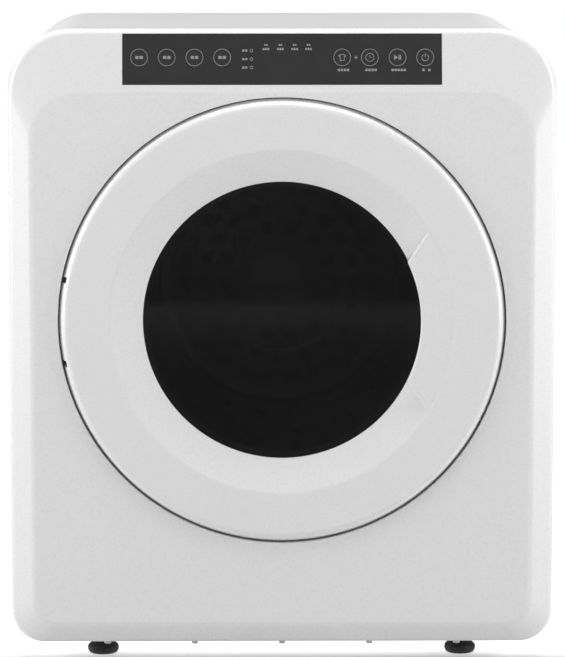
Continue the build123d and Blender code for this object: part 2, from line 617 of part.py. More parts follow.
SWITCH_X, SWITCH_Z = around_axis(SWITCH_RADIUS, SWITCH_ANGLE)
with BuildPart() as door_switch:
    block(SWITCH_X - 10, SWITCH_X + 10, WELL_FLOOR + 2.7, 47, SWITCH_Z - 7, SWITCH_Z + 7)
    disc(WELL_FLOOR, 14, 2.6, x=SWITCH_X, z=SWITCH_Z, mode=Mode.SUBTRACT)
    block(SWITCH_X - 6, SWITCH_X - 5, 46, 49.6, SWITCH_Z - 3, SWITCH_Z + 3)
    block(SWITCH_X + 5, SWITCH_X + 6, 46, 49.6, SWITCH_Z - 3, SWITCH_Z + 3)
pieces["door_switch"] = door_switch

with BuildPart() as door_switch_plunger:
    turned([(DOOR_BACK + 0.5, 0), (DOOR_BACK + 0.5, 2.5, 1.2), (40, 2.5), (40, 0)], SWITCH_X, SWITCH_Z)
pieces["door_switch_plunger"] = door_switch_plunger


# ---------------------------------------------------------------- drum and its supports
with BuildPart() as front_bulkhead:
    panel_with_flange(FRONT_BULKHEAD, 1.0, 10)
    disc(FRONT_BULKHEAD - 1, 4, 163, mode=Mode.SUBTRACT)
pieces["front_bulkhead"] = front_bulkhead

with BuildPart() as porthole_ring:
    turned([(47.8, PORTHOLE_R + 0.5), (54, 158), (67, 158), (67, 161), (49.8, 161), (49.8, 172),
            (47.8, 172)])
pieces["porthole_ring"] = porthole_ring

with BuildPart() as front_felt_seal:
    turned([(58, 161.1), (65.5, 161.1), (65.5, DRUM_RIM_R - CLEAR), (58, DRUM_RIM_R - CLEAR)])
pieces["front_felt_seal"] = front_felt_seal

with BuildPart() as drum_shell:
    turned([(DRUM_BACK, DRUM_R), (73, DRUM_R, 12), (60, 203, 12), (DRUM_FRONT, DRUM_RIM_R), (66, DRUM_RIM_R),
            (66, DRUM_RIM_R + 1.2), (58.4, DRUM_RIM_R + 1.2), (61.1, 202.4, 11), (73.4, DRUM_R - 1, 11),
            (DRUM_BACK, DRUM_R - 1)])
pieces["drum_shell"] = drum_shell

with BuildPart() as drum_rear_wall:
    turned([(306, 213.8), (319.2, 213.8), (319.2, 136.4), (313.2, 133.8), (313.2, 126.4), (308.2, 123.8),
            (308.2, 120.4), (319.2, 117.2), (319.2, 12), (318, 12), (318, 116.2), (307, 119.2), (307, 124.8),
            (312, 127.4), (312, 134.8), (318, 137.6), (318, 212.6), (306, 212.6)])
    with BuildSketch(facing(300)) as holes:
        with Locations((0, AXIS_Z)):
            for radius, count in ((54, 14), (74, 20), (94, 26)):
                with PolarLocations(radius, count):
                    Circle(6)
            for radius, count in ((155, 36), (173, 40), (191, 44)):
                with PolarLocations(radius, count):
                    Circle(4)
    extrude(holes.sketch, amount=-30, mode=Mode.SUBTRACT)
pieces["drum_rear_wall"] = drum_rear_wall

with BuildPart() as drum_lifters:
    for angle in (0, 120, 240):
        with BuildSketch(turned_plane(88, angle)) as rib:
            with BuildLine():
                FilletPolyline((-24, 218), (-19, 200), (-9, 174), (9, 174), (19, 200), (24, 218), radius=6)
                Line((24, 218), (-24, 218))
            make_face()
            Circle(DRUM_R - 1.2, mode=Mode.INTERSECT)
        extrude(rib.sketch, amount=-200)
pieces["drum_lifters"] = drum_lifters

with BuildPart() as drum_hub:
    turned([(319.4, AXLE_R + RUNNING_FIT), (319.4, 38), (322.4, 38), (324, 18), (331, 18),
            (331, AXLE_R + RUNNING_FIT)])
    for angle in range(0, 360, 60):
        disc(318, 10, 2.2, *around_axis(30, angle), mode=Mode.SUBTRACT)
pieces["drum_hub"] = drum_hub

FILTER_BACK = 317.1
with BuildPart() as lint_filter_frame:
    turned([(313, 106), (309.5, 108.5), (309.5, 114.2), (FILTER_BACK, 114.2), (FILTER_BACK, 106)])
    turned([(311.5, 66), (311.5, 70), (FILTER_BACK, 70), (FILTER_BACK, 66)])
    disc(311.5, FILTER_BACK - 311.5, 30)
    for angle in range(0, 360, 30):
        with BuildSketch(turned_plane(313, angle)) as spoke:
            with Locations((69, 0)):
                Rectangle(82, 3)
        extrude(spoke.sketch, amount=-(FILTER_BACK - 313))
    # the raised bar that fingers turn and pull
    with BuildSketch(facing(305)) as bar:
        with Locations((0, AXIS_Z)):
            SlotOverall(56, 12)
    extrude(bar.sketch, amount=-8)
pieces["lint_filter_frame"] = lint_filter_frame

with BuildPart() as lint_filter_mesh:
    disc(FILTER_BACK + 0.05, 0.45, 112)
pieces["lint_filter_mesh"] = lint_filter_mesh

with BuildPart() as rear_bulkhead:
    panel_with_flange(REAR_BULKHEAD, 1.0, 10)
    disc(REAR_BULKHEAD - 1, 4, 108, mode=Mode.SUBTRACT)
    disc(REAR_BULKHEAD - 1, 4, 14, x=MOTOR_X, z=MOTOR_Z, mode=Mode.SUBTRACT)
    block(HEATER_LEFT + 8, HEATER_RIGHT - 8, REAR_BULKHEAD - 1, REAR_BULKHEAD + 3, 124, HEATER_TOP - 4,
          mode=Mode.SUBTRACT)
pieces["rear_bulkhead"] = rear_bulkhead

with BuildPart() as rear_felt_seals:
    front = DRUM_BACK + STEEL + CLEAR
    for inner, outer in ((110, 116), (200, 207)):
        turned([(front, inner), (REAR_BULKHEAD, inner), (REAR_BULKHEAD, outer), (front, outer)])
pieces["rear_felt_seals"] = rear_felt_seals

BRACKET_FRONT = 331.8
with BuildPart() as bearing_bracket:
    disc(BRACKET_FRONT, 5.6, 18)
    for angle in BRACKET_ANGLES:
        with BuildSketch(turned_plane(REAR_BULKHEAD + 1, angle)) as leg:
            with Locations((60, 0)):
                Rectangle(124, 16)
        extrude(leg.sketch, amount=-2.4)
    disc(BRACKET_FRONT - 1, 10, AXLE_R + 0.03, mode=Mode.SUBTRACT)
pieces["bearing_bracket"] = bearing_bracket

with BuildPart() as drum_axle:
    turned([(319.6, 0), (319.6, AXLE_R, 0.8), (383, AXLE_R), (383, 11), (388, 11, 1.0), (388, 0)])
pieces["drum_axle"] = drum_axle


# ---------------------------------------------------------------- fan, heater and motor
with BuildPart() as fan_housing:
    outer = [(0, AXIS_Z, 100), (COLLAR_X, COLLAR_Z, COLLAR_R + 6)]
    inner = [(x, z, radius - RIB) for x, z, radius in outer]
    extrude(hull_of(REAR_BULKHEAD + 1.1, outer), amount=-(FAN_HOUSING_BACK - REAR_BULKHEAD - 1.1))
    extrude(hull_of(REAR_BULKHEAD, inner), amount=-(FAN_HOUSING_BACK - RIB - REAR_BULKHEAD),
            mode=Mode.SUBTRACT)
    disc(FAN_HOUSING_BACK - 5, 10, 15, mode=Mode.SUBTRACT)
    disc(FAN_HOUSING_BACK - 5, 10, COLLAR_R + 0.2, x=COLLAR_X, z=COLLAR_Z, mode=Mode.SUBTRACT)
    # the bearing bracket's legs pass under the housing's rim
    for angle in BRACKET_ANGLES:
        with BuildSketch(turned_plane(REAR_BULKHEAD, angle)) as notch:
            with Locations((110, 0)):
                Rectangle(40, 17)
        extrude(notch.sketch, amount=-3.8, mode=Mode.SUBTRACT)
pieces["fan_housing"] = fan_housing

with BuildPart() as fan_wheel:
    bore = AXLE_R + RUNNING_FIT
    turned([(341, bore), (341, 13), (359, 13), (359, FAN_R), (361, FAN_R), (361, 13), (370, 13), (370, 22),
            (371, FAN_PULLEY_R), (381, FAN_PULLEY_R), (382, 22), (382.6, 22), (382.6, bore)])
    turned([(339, FAN_R - 4), (339, FAN_R), (341, FAN_R), (341, FAN_R - 4)])
    for number in range(BLADES):
        with BuildSketch(turned_plane(340, 360 * number / BLADES)) as blade:
            with Locations(Location((FAN_R - 10, 0), 35)):
                Rectangle(21, 1.6)
        extrude(blade.sketch, amount=-19.5)
pieces["fan_wheel"] = fan_wheel

with BuildPart() as heater_duct:
    left = HEATER_LEFT + RIB
    right = HEATER_RIGHT - RIB
    block(HEATER_LEFT, HEATER_RIGHT, REAR_BULKHEAD + 1.1, 388, HEATER_BOTTOM, HEATER_TOP)
    block(left, right, REAR_BULKHEAD + 3, 386, HEATER_BOTTOM + RIB, HEATER_TOP - RIB, mode=Mode.SUBTRACT)
    block(left, right, REAR_BULKHEAD, REAR_BULKHEAD + 6, 122, HEATER_TOP - RIB, mode=Mode.SUBTRACT)
    block(left, right, 380, 390, HEATER_BOTTOM + RIB, 116, mode=Mode.SUBTRACT)
pieces["heater_duct"] = heater_duct

with BuildPart() as ptc_heater:
    left = HEATER_LEFT + RIB + 1
    right = HEATER_RIGHT - RIB - 1
    pitch = (right - left - 2.4) / (FINS - 1)
    block(left, right, 344, 380, 62, 66)
    block(left, right, 344, 380, 112, 116)
    for number in range(FINS):
        block(left + number * pitch, left + number * pitch + 2.4, 344, 380, 65, 113)
    # the two disc thermostats that cut the heater off
    for x in (-20, 26):
        disc(337.4, 7, 8, x=x, z=89)
pieces["ptc_heater"] = ptc_heater

with BuildPart() as motor_casing:
    bore = SHAFT_R + RUNNING_FIT
    inside = MOTOR_R - 2.5
    turned([(190, bore), (190, 32), (196, MOTOR_R, 4), (274, MOTOR_R, 4), (280, 32), (280, bore),
            (277, bore), (277, 30), (272, inside), (262, inside), (262, ROTOR_R + 0.5), (208, ROTOR_R + 0.5),
            (208, inside), (198, inside), (193, 30), (193, bore)], MOTOR_X, MOTOR_Z)
    for step in range(6):
        x = MOTOR_X + 20 * cos(radians(60 * step))
        z = MOTOR_Z + 20 * sin(radians(60 * step))
        disc(185, 10, 4, x=x, z=z, mode=Mode.SUBTRACT)
        disc(275, 10, 4, x=x, z=z, mode=Mode.SUBTRACT)
pieces["motor_casing"] = motor_casing

with BuildPart() as motor_rotor:
    turned([(182, 0), (182, SHAFT_R), (208, SHAFT_R), (208, ROTOR_R), (262, ROTOR_R), (262, SHAFT_R),
            (289, SHAFT_R), (289, 11), (291, DRUM_PULLEY_R), (301, DRUM_PULLEY_R), (303, 11), (305, 11),
            (305, SHAFT_R), (370, SHAFT_R), (370, 32), (371, MOTOR_FAN_PULLEY_R), (381, MOTOR_FAN_PULLEY_R),
            (382, 32), (383, 32), (383, SHAFT_R), (386, SHAFT_R), (386, 0)], MOTOR_X, MOTOR_Z)
pieces["motor_rotor"] = motor_rotor

PIVOT_X, PIVOT_Z = TENSIONER_PIVOT
with BuildPart() as motor_cradle:
    block(96, 204, 200, 286, PAN_TOP, PAN_TOP + 2)
    block(4, 100, 266, 286, PAN_TOP, PAN_TOP + 2)
    # two saddles under the motor
    for depth in (212, 254):
        with BuildSketch(facing(depth)) as saddle:
            with BuildLine():
                Polyline((98, PAN_TOP + 1), (202, PAN_TOP + 1), (196, 72), (104, 72), close=True)
            make_face()
            with Locations((MOTOR_X, MOTOR_Z)):
                Circle(MOTOR_R + 0.2, mode=Mode.SUBTRACT)
        extrude(saddle.sketch, amount=-4)
    # the post and pin that carry the belt tensioner
    block(PIVOT_X - 9, PIVOT_X + 9, 280, 284, PAN_TOP + 1, PIVOT_Z + 8)
    disc(282, 16, 4, x=PIVOT_X, z=PIVOT_Z)
pieces["motor_cradle"] = motor_cradle

with BuildPart() as motor_capacitor:
    turned([(200, 0), (200, 17, 1.5), (262, 17, 1.5), (262, 12), (264, 12), (264, 0)], -60, PAN_TOP + 19)
    block(-80, -40, 224, 236, PAN_TOP, PAN_TOP + 3)
pieces["motor_capacitor"] = motor_capacitor

with BuildPart() as drum_belt:
    belt(DRUM_BELT_DEPTH, [(0, AXIS_Z, DRUM_R), (MOTOR_X, MOTOR_Z, DRUM_PULLEY_R)])
pieces["drum_belt"] = drum_belt

with BuildPart() as fan_belt:
    belt(FAN_BELT_DEPTH, [(0, AXIS_Z, FAN_PULLEY_R), (MOTOR_X, MOTOR_Z, MOTOR_FAN_PULLEY_R)])
pieces["fan_belt"] = fan_belt

# The tensioner's wheel just meets the outside of the drum belt's lower run.
span = hypot(MOTOR_X, AXIS_Z - MOTOR_Z)
heading = atan2(MOTOR_Z - AXIS_Z, MOTOR_X)
run_normal = heading - acos((DRUM_R - DRUM_PULLEY_R) / span)
run_offset = DRUM_R + BELT_THICKNESS + 2 * CLEAR + TENSIONER_R
WHEEL_X = run_offset * cos(run_normal) - TENSIONER_ALONG * sin(run_normal)
WHEEL_Z = AXIS_Z + run_offset * sin(run_normal) + TENSIONER_ALONG * cos(run_normal)

with BuildPart() as tensioner_arm:
    extrude(hull_of(285, [(PIVOT_X, PIVOT_Z, 8), (WHEEL_X, WHEEL_Z, 7)]), amount=-4)
    disc(284.6, 8, 8, x=PIVOT_X, z=PIVOT_Z)
    disc(280, 30, 4 + RUNNING_FIT, x=PIVOT_X, z=PIVOT_Z, mode=Mode.SUBTRACT)
    disc(288, 15, 3, x=WHEEL_X, z=WHEEL_Z)
pieces["tensioner_arm"] = tensioner_arm

with BuildPart() as tensioner_wheel:
    bore = 3 + RUNNING_FIT
    turned([(290, bore), (290, 7), (291, 7), (291, TENSIONER_R, 0.6), (301, TENSIONER_R, 0.6), (301, 7),
            (302, 7), (302, bore)], WHEEL_X, WHEEL_Z)
pieces["tensioner_wheel"] = tensioner_wheel

SPRING_R = 5.0
SPRING_X = PIVOT_X + 24
ARM_SLOPE = (WHEEL_Z - PIVOT_Z) / (WHEEL_X - PIVOT_X)
SPRING_TOP = PIVOT_Z + 24 * ARM_SLOPE - 7.6 / cos(atan2(ARM_SLOPE, 1)) - 1.4
with BuildPart() as tensioner_spring:
    with BuildLine() as coil:
        Helix(pitch=(SPRING_TOP - PAN_TOP - 1.2) / 6, height=SPRING_TOP - PAN_TOP - 1.2, radius=SPRING_R,
              center=(SPRING_X, FRONT + 287, PAN_TOP + 0.8))
    with BuildSketch(Plane(origin=coil.line @ 0, z_dir=coil.line % 0)):
        Circle(0.7)
    sweep()
pieces["tensioner_spring"] = tensioner_spring


# ---------------------------------------------------------------- write the pieces
os.makedirs("parts", exist_ok=True)
for name, piece in pieces.items():
    piece.part.label = name
    export_step(piece.part, f"parts/{name}.step")
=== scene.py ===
"""The looks of a compact vented clothes dryer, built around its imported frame.

Metres, +Z up. The door faces -Y, and +X is on the right of a person facing it.
"""

import json
import math

import bpy
from mathutils import Matrix, Vector


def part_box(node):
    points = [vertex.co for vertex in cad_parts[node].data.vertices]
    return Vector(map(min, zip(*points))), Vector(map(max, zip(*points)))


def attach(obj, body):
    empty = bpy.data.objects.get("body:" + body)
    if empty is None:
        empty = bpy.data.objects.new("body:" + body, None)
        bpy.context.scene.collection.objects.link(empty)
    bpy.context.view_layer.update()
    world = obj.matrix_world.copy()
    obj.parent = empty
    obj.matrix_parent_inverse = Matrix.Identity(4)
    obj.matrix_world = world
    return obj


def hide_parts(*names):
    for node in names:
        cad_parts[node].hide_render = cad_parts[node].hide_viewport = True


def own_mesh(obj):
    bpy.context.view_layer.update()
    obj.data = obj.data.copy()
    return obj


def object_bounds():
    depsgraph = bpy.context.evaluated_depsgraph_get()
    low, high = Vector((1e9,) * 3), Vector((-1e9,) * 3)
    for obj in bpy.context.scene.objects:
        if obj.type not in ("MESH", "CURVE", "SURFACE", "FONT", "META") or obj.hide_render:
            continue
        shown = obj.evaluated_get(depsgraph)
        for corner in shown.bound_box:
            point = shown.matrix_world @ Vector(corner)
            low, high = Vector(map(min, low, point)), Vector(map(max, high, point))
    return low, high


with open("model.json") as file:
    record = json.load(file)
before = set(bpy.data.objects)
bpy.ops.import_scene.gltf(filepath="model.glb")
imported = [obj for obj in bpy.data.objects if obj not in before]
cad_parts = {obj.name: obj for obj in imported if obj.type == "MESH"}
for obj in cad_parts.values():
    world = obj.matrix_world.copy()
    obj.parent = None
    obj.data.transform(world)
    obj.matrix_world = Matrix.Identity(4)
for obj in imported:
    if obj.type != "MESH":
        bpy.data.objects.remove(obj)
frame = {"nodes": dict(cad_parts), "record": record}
CAD_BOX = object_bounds()
MM = 0.001

# ------------------------------------------------------------------ places, from the frame
FRONT_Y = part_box("front_panel")[0].y
FLOOR_Z = CAD_BOX[0].z
STRIP_THICKNESS = 1.2 * MM
# the sloping band that carries the strip: how far it leans back over its rise, in mm
BAND_DEPTH, BAND_RISE = 12, 57
BAND_TILT = math.atan2(BAND_DEPTH, BAND_RISE)
UP_BAND = Vector((0, math.sin(BAND_TILT), math.cos(BAND_TILT)))
OUT_OF_BAND = Vector((0, -math.cos(BAND_TILT), math.sin(BAND_TILT)))
STRIP_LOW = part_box("control_strip")[0]
# the middle of the strip's lower front edge, which every printed mark is placed from
STRIP_EDGE = Vector((0, STRIP_LOW.y, STRIP_LOW.z + STRIP_THICKNESS * math.sin(BAND_TILT)))
# the printed marks: the keys' row in mm up the band, then two heights above the strip
KEY_ROW = 24.8
KEY_PROUD = 0.15 * MM
INK = 0.05 * MM


# ------------------------------------------------------------------ shared helpers
def full_turn(sides):
    """Evenly spaced angles round a circle."""
    return [2 * math.pi * step / sides for step in range(sides)]


def placed(name, data):
    """A new object in the scene."""
    thing = bpy.data.objects.new(name, data)
    bpy.context.scene.collection.objects.link(thing)
    return thing


# ------------------------------------------------------------------ material helpers
def level(value):
    """The linear value of a display grey from 0 to 255."""
    share = value / 255
    return share / 12.92 if share <= 0.04045 else ((share + 0.055) / 1.055) ** 2.4


def grey(value, alpha=1.0):
    """A neutral colour of this display grey."""
    return (level(value),) * 3 + (alpha,)


class Surface:
    """A principled material whose patterns are placed by object coordinates."""

    def __init__(self, name, **sockets):
        self.material = bpy.data.materials.new(name)
        self.material.use_nodes = True
        self.nodes = self.material.node_tree.nodes
        self.links = self.material.node_tree.links
        self.shader = self.nodes["Principled BSDF"]
        self.place = self.nodes.new("ShaderNodeTexCoord").outputs["Object"]
        for socket, value in sockets.items():
            self.shader.inputs[socket.replace("_", " ")].default_value = value

    def stretched(self, stretch):
        """Coordinates scaled along each axis, for a grain that runs one way."""
        mapping = self.nodes.new("ShaderNodeMapping")
        mapping.inputs["Scale"].default_value = stretch
        self.links.new(self.place, mapping.inputs["Vector"])
        return mapping.outputs["Vector"]

    def noise(self, scale, detail=3.0, stretch=None):
        """Soft noise with this many features a metre."""
        noise = self.nodes.new("ShaderNodeTexNoise")
        noise.inputs["Scale"].default_value = scale
        noise.inputs["Detail"].default_value = detail
        place = self.place if stretch is None else self.stretched(stretch)
        self.links.new(place, noise.inputs["Vector"])
        return noise.outputs["Fac"]

    def cells(self, scale, feature="F1", output="Distance"):
        """Voronoi cells with this many a metre."""
        cells = self.nodes.new("ShaderNodeTexVoronoi")
        cells.feature = feature
        cells.inputs["Scale"].default_value = scale
        self.links.new(self.place, cells.inputs["Vector"])
        return cells.outputs[output]

    def ramp(self, factor, low, high, start=0.3, end=0.7):
        """A colour that goes from low to high as the factor goes from start to end."""
        ramp = self.nodes.new("ShaderNodeValToRGB")
        ramp.color_ramp.elements[0].position = start
        ramp.color_ramp.elements[0].color = low
        ramp.color_ramp.elements[1].position = end
        ramp.color_ramp.elements[1].color = high
        self.links.new(factor, ramp.inputs["Fac"])
        return ramp.outputs["Color"]

    def between(self, factor, low, high, start=0.3, end=0.7):
        """A number that goes from low to high as the factor goes from start to end."""
        spread = self.nodes.new("ShaderNodeMapRange")
        limits = (("From Min", start), ("From Max", end), ("To Min", low), ("To Max", high))
        for socket, value in limits:
            spread.inputs[socket].default_value = value
        self.links.new(factor, spread.inputs["Value"])
        return spread.outputs["Result"]

    def axis(self, name):
        """One of the three object coordinates."""
        split = self.nodes.new("ShaderNodeSeparateXYZ")
        self.links.new(self.place, split.inputs["Vector"])
        return split.outputs[name]

    def reach(self):
        """The distance from the origin."""
        length = self.nodes.new("ShaderNodeVectorMath")
        length.operation = "LENGTH"
        self.links.new(self.place, length.inputs[0])
        return length.outputs["Value"]

    def combined(self, operation, *numbers):
        """Numbers put through a math operation, such as ABSOLUTE, MULTIPLY or MAXIMUM."""
        math_node = self.nodes.new("ShaderNodeMath")
        math_node.operation = operation
        for number, socket in zip(numbers, math_node.inputs):
            self.links.new(number, socket)
        return math_node.outputs["Value"]

    def colour(self, output):
        """Drive the base colour."""
        self.links.new(output, self.shader.inputs["Base Color"])

    def roughness(self, output):
        """Drive the roughness."""
        self.links.new(output, self.shader.inputs["Roughness"])

    def bump(self, *layers):
        """Stacked bumps, each a (height, depth in metres) pair."""
        normal = None
        for height, depth in layers:
            bump = self.nodes.new("ShaderNodeBump")
            bump.inputs["Distance"].default_value = depth
            self.links.new(height, bump.inputs["Height"])
            if normal is not None:
                self.links.new(normal, bump.inputs["Normal"])
            normal = bump.outputs["Normal"]
        self.links.new(normal, self.shader.inputs["Normal"])


# ------------------------------------------------------------------ materials
GLOSS_SPREAD = 0.02


def moulded(name, low, high, roughness, grain=0.004):
    """A moulded plastic: slow shade changes, a fine spark-eroded grain, uneven gloss."""
    s = Surface(name)
    s.colour(s.ramp(s.noise(7, 2), grey(low), grey(high)))
    s.roughness(s.between(s.noise(600, 3), roughness - GLOSS_SPREAD, roughness + GLOSS_SPREAD))
    s.bump((s.noise(1500, 2), grain * MM))
    return s.material


def painted(name, low, high, roughness):
    """Powder paint on sheet steel, with its slight orange peel."""
    s = Surface(name)
    s.colour(s.ramp(s.noise(5, 2), grey(low), grey(high)))
    s.roughness(s.between(s.noise(500, 3), roughness - GLOSS_SPREAD, roughness + GLOSS_SPREAD))
    s.bump((s.noise(420, 2), 0.006 * MM))
    return s.material


def galvanised():
    """Zinc-coated sheet, with its spangle."""
    s = Surface("galvanised", Metallic=1.0)
    s.colour(s.ramp(s.cells(150, output="Color"), grey(168), grey(198), 0.1, 0.9))
    s.roughness(s.between(s.cells(150, output="Color"), 0.34, 0.52, 0.0, 1.0))
    s.bump((s.noise(900, 3), 0.01 * MM))
    return s.material


def brushed(name, low, high, roughness, stretch=(4, 4, 90)):
    """Rolled or turned steel, with a grain that runs one way."""
    s = Surface(name, Metallic=1.0, Anisotropic=0.4)
    grain = s.noise(30, 5, stretch)
    s.colour(s.ramp(grain, grey(low), grey(high)))
    s.roughness(s.between(grain, roughness - 0.08, roughness + 0.08))
    s.bump((grain, 0.01 * MM))
    return s.material


def rubber(name, low, high):
    """Moulded rubber with a dry, slightly dusty skin."""
    s = Surface(name)
    s.colour(s.ramp(s.noise(40, 4), grey(low), grey(high)))
    s.roughness(s.between(s.noise(200, 3), 0.55, 0.8))
    s.bump((s.noise(1400, 3), 0.03 * MM))
    return s.material


def felt():
    """Pressed wool felt: matted fibres and a soft nap."""
    s = Surface("felt", Roughness=0.95, Sheen_Weight=0.4, Sheen_Roughness=0.6)
    fibres = s.noise(700, 6, (1, 3, 1))
    s.colour(s.ramp(fibres, grey(132), grey(176)))
    s.bump((fibres, 0.3 * MM), (s.noise(90, 3), 0.4 * MM))
    return s.material


def acrylic(name, low, high):
    """The dark printed strip: smooth acrylic with the faintest haze."""
    s = Surface(name, IOR=1.49)
    s.colour(s.ramp(s.noise(25, 3), grey(low), grey(high)))
    s.roughness(s.between(s.noise(90, 3), 0.3, 0.38))
    s.bump((s.noise(700, 2), 0.006 * MM))
    return s.material


def pane(name, low, high, alpha, roughness, gloss):
    """A thin glazing that is see-through by its alpha."""
    s = Surface(name, Alpha=alpha, IOR=1.5, Specular_IOR_Level=gloss)
    s.colour(s.ramp(s.noise(12, 2), grey(low), grey(high)))
    s.roughness(s.between(s.noise(40, 3), roughness, roughness + 0.03))
    s.bump((s.noise(10, 1), 0.04 * MM))
    return s.material


def board():
    """Solder mask in lighter and darker green cells, with a slight bump."""
    s = Surface("circuit_board", Roughness=0.4)
    s.colour(s.ramp(s.cells(260), (0.02, 0.16, 0.06, 1), (0.04, 0.26, 0.1, 1)))
    s.bump((s.cells(260), 0.05 * MM))
    return s.material


def ink():
    """Screen-printed light grey ink."""
    s = Surface("strip_ink")
    s.colour(s.ramp(s.noise(900, 3), grey(136), grey(164)))
    s.roughness(s.between(s.noise(600, 2), 0.5, 0.65))
    return s.material


MATERIALS = {
    "white_plastic": moulded("white_plastic", 233.4, 234.6, 0.28, 0.003),
    "white_paint": painted("white_paint", 223.4, 224.8, 0.38),
    "galvanised_steel": galvanised(),
    "drum_steel": brushed("drum_steel", 176, 206, 0.32, (4, 90, 4)),
    "machined_steel": brushed("machined_steel", 160, 196, 0.3),
    "screw_steel": brushed("screw_steel", 170, 205, 0.25, (60, 60, 60)),
    "strip_black": acrylic("strip_black", 52, 55),
    "key_black": acrylic("key_black", 53, 56),
    "board_green": board(),
    "tinted_pane": pane("tinted_pane", 7, 12, 0.66, 0.03, 0.2),
    "clear_bowl": pane("clear_bowl", 120, 140, 0.1, 0.04, 0.3),
    "rubber_black": rubber("rubber_black", 22, 38),
    "rubber_grey": rubber("rubber_grey", 92, 112),
    "felt_grey": felt(),
    "filter_plastic": moulded("filter_plastic", 138, 150, 0.45),
    "filter_mesh": moulded("filter_mesh", 70, 96, 0.6),
    "fan_plastic": moulded("fan_plastic", 60, 72, 0.5),
    "duct_plastic": moulded("duct_plastic", 96, 108, 0.5),
    "grey_plastic": moulded("grey_plastic", 214, 222, 0.45),
    "heater_aluminium": brushed("heater_aluminium", 190, 214, 0.35),
    "hub_aluminium": brushed("hub_aluminium", 180, 205, 0.45, (30, 30, 30)),
    "motor_shell": painted("motor_shell", 54, 66, 0.4),
    "capacitor_shell": moulded("capacitor_shell", 206, 216, 0.4),
    "lifter_plastic": moulded("lifter_plastic", 150, 164, 0.45),
    "magnet_brown": moulded("magnet_brown", 48, 58, 0.5),
}

for part in frame["record"]["subparts"]:
    node = frame["nodes"][part["node"]]
    node.data.materials.clear()
    node.data.materials.append(MATERIALS[part["material_slot"]])


# ------------------------------------------- flat shapes for the printed marks, in mm
def ellipse(x, y, radius, sides=48):
    """A circle as a closed outline."""
    return [(x + radius * math.cos(a), y + radius * math.sin(a)) for a in full_turn(sides)]


def ring(x, y, outer, width):
    """Two circles, one inside the other, which fill as a ring."""
    return [ellipse(x, y, outer), ellipse(x, y, outer - width)]


def bar(x, y, width, height, corner=0.25):
    """A small rectangle with rounded corners."""
    corner = min(corner, width / 2 - 0.01, height / 2 - 0.01)
    outline = []
    for quarter, (sx, sy) in enumerate(((1, 1), (-1, 1), (-1, -1), (1, -1))):
        for step in range(4):
            a = math.radians(90 * quarter + 30 * step)
            outline.append((x + sx * (width / 2 - corner) + corner * math.cos(a),
                            y + sy * (height / 2 - corner) + corner * math.sin(a)))
    return outline


def arc_band(x, y, radius, width, start, end, steps=28):
    """Part of a ring, from one angle to another."""
    angles = [math.radians(start + (end - start) * step / steps) for step in range(steps + 1)]
    outer = [(x + radius * math.cos(a), y + radius * math.sin(a)) for a in angles]
    hole = radius - width
    inner = [(x + hole * math.cos(a), y + hole * math.sin(a)) for a in reversed(angles)]
    return outer + inner


def inset(points, distance):
    """A closed counter-clockwise outline, moved inwards by a distance."""
    moved = []
    for before, here, after in zip(points[-1:] + points[:-1], points, points[1:] + points[:1]):
        one = Vector((here[0] - before[0], here[1] - before[1])).normalized()
        two = Vector((after[0] - here[0], after[1] - here[1])).normalized()
        normals = Vector((-one.y, one.x)), Vector((-two.y, two.x))
        middle = normals[0] + normals[1]
        shift = middle * (distance * 2 / middle.length_squared)
        moved.append((here[0] + shift.x, here[1] + shift.y))
    return moved


def word(x, y, width, height, letters):
    """A short label, greeked: evenly spaced blocks in place of letters."""
    pitch = width / letters
    first = x - width / 2 + pitch / 2
    return [bar(first + pitch * step, y, pitch * 0.76, height) for step in range(letters)]


def shirt(x, y):
    """The outline of a shirt, for the drying programme."""
    half = [(1.1, 2.9), (3.5, 1.9), (3.0, 0.4), (2.1, 0.8), (2.1, -3.0)]
    outline = [(x - px, y + py) for px, py in half]
    outline += [(x + px, y + py) for px, py in reversed(half)]
    return [outline, inset(outline, 0.5)]


def clock(x, y):
    """A dial with two hands, for the time."""
    return ring(x, y, 3.9, 0.5) + [bar(x, y + 0.95, 0.5, 2.3, 0.1), bar(x + 1.05, y, 1.4, 0.5, 0.1)]


def play_pause(x, y):
    """A triangle and two bars, for start and pause."""
    triangle = [(x - 3.1, y - 2.3), (x + 0.5, y), (x - 3.1, y + 2.3)]
    return [triangle, bar(x + 1.35, y, 0.9, 4.4), bar(x + 2.75, y, 0.9, 4.4)]


def power(x, y):
    """An open ring with an upright bar in its gap."""
    return [arc_band(x, y - 0.2, 3.3, 0.6, 120, 420), bar(x, y + 2.1, 0.6, 3.2)]


def plus(x, y):
    """A plus sign between the two keys that are pressed together."""
    arm, half = 1.5, 0.35
    corners = [(arm, -half), (arm, half), (half, half), (half, arm), (-half, arm), (-half, half)]
    corners += [(-px, -py) for px, py in corners]
    return [[(x + px, y + py) for px, py in corners]]


def print_marks(name, outlines, lift, body):
    """Lay filled outlines on the band's plane, as a thin film of ink that rides on a body."""
    curve = bpy.data.curves.new(name + "_outline", "CURVE")
    curve.dimensions = "2D"
    curve.fill_mode = "BOTH"
    curve.extrude = INK / 2
    for outline in outlines:
        spline = curve.splines.new("POLY")
        spline.points.add(len(outline) - 1)
        for point, (x, y) in zip(spline.points, outline):
            point.co = (x * MM, y * MM, 0, 1)
        spline.use_cyclic_u = True
    drawn = placed(name + "_outline", curve)
    bpy.context.view_layer.update()
    mesh = bpy.data.meshes.new_from_object(drawn)
    bpy.data.objects.remove(drawn)
    axes = Matrix((Vector((1, 0, 0)), UP_BAND, OUT_OF_BAND)).transposed().to_4x4()
    mesh.transform(Matrix.Translation(STRIP_EDGE + OUT_OF_BAND * (lift + INK / 2)) @ axes)
    mesh.materials.clear()
    mesh.materials.append(INK_GREY)
    piece = placed(name, mesh)
    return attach(piece, body)


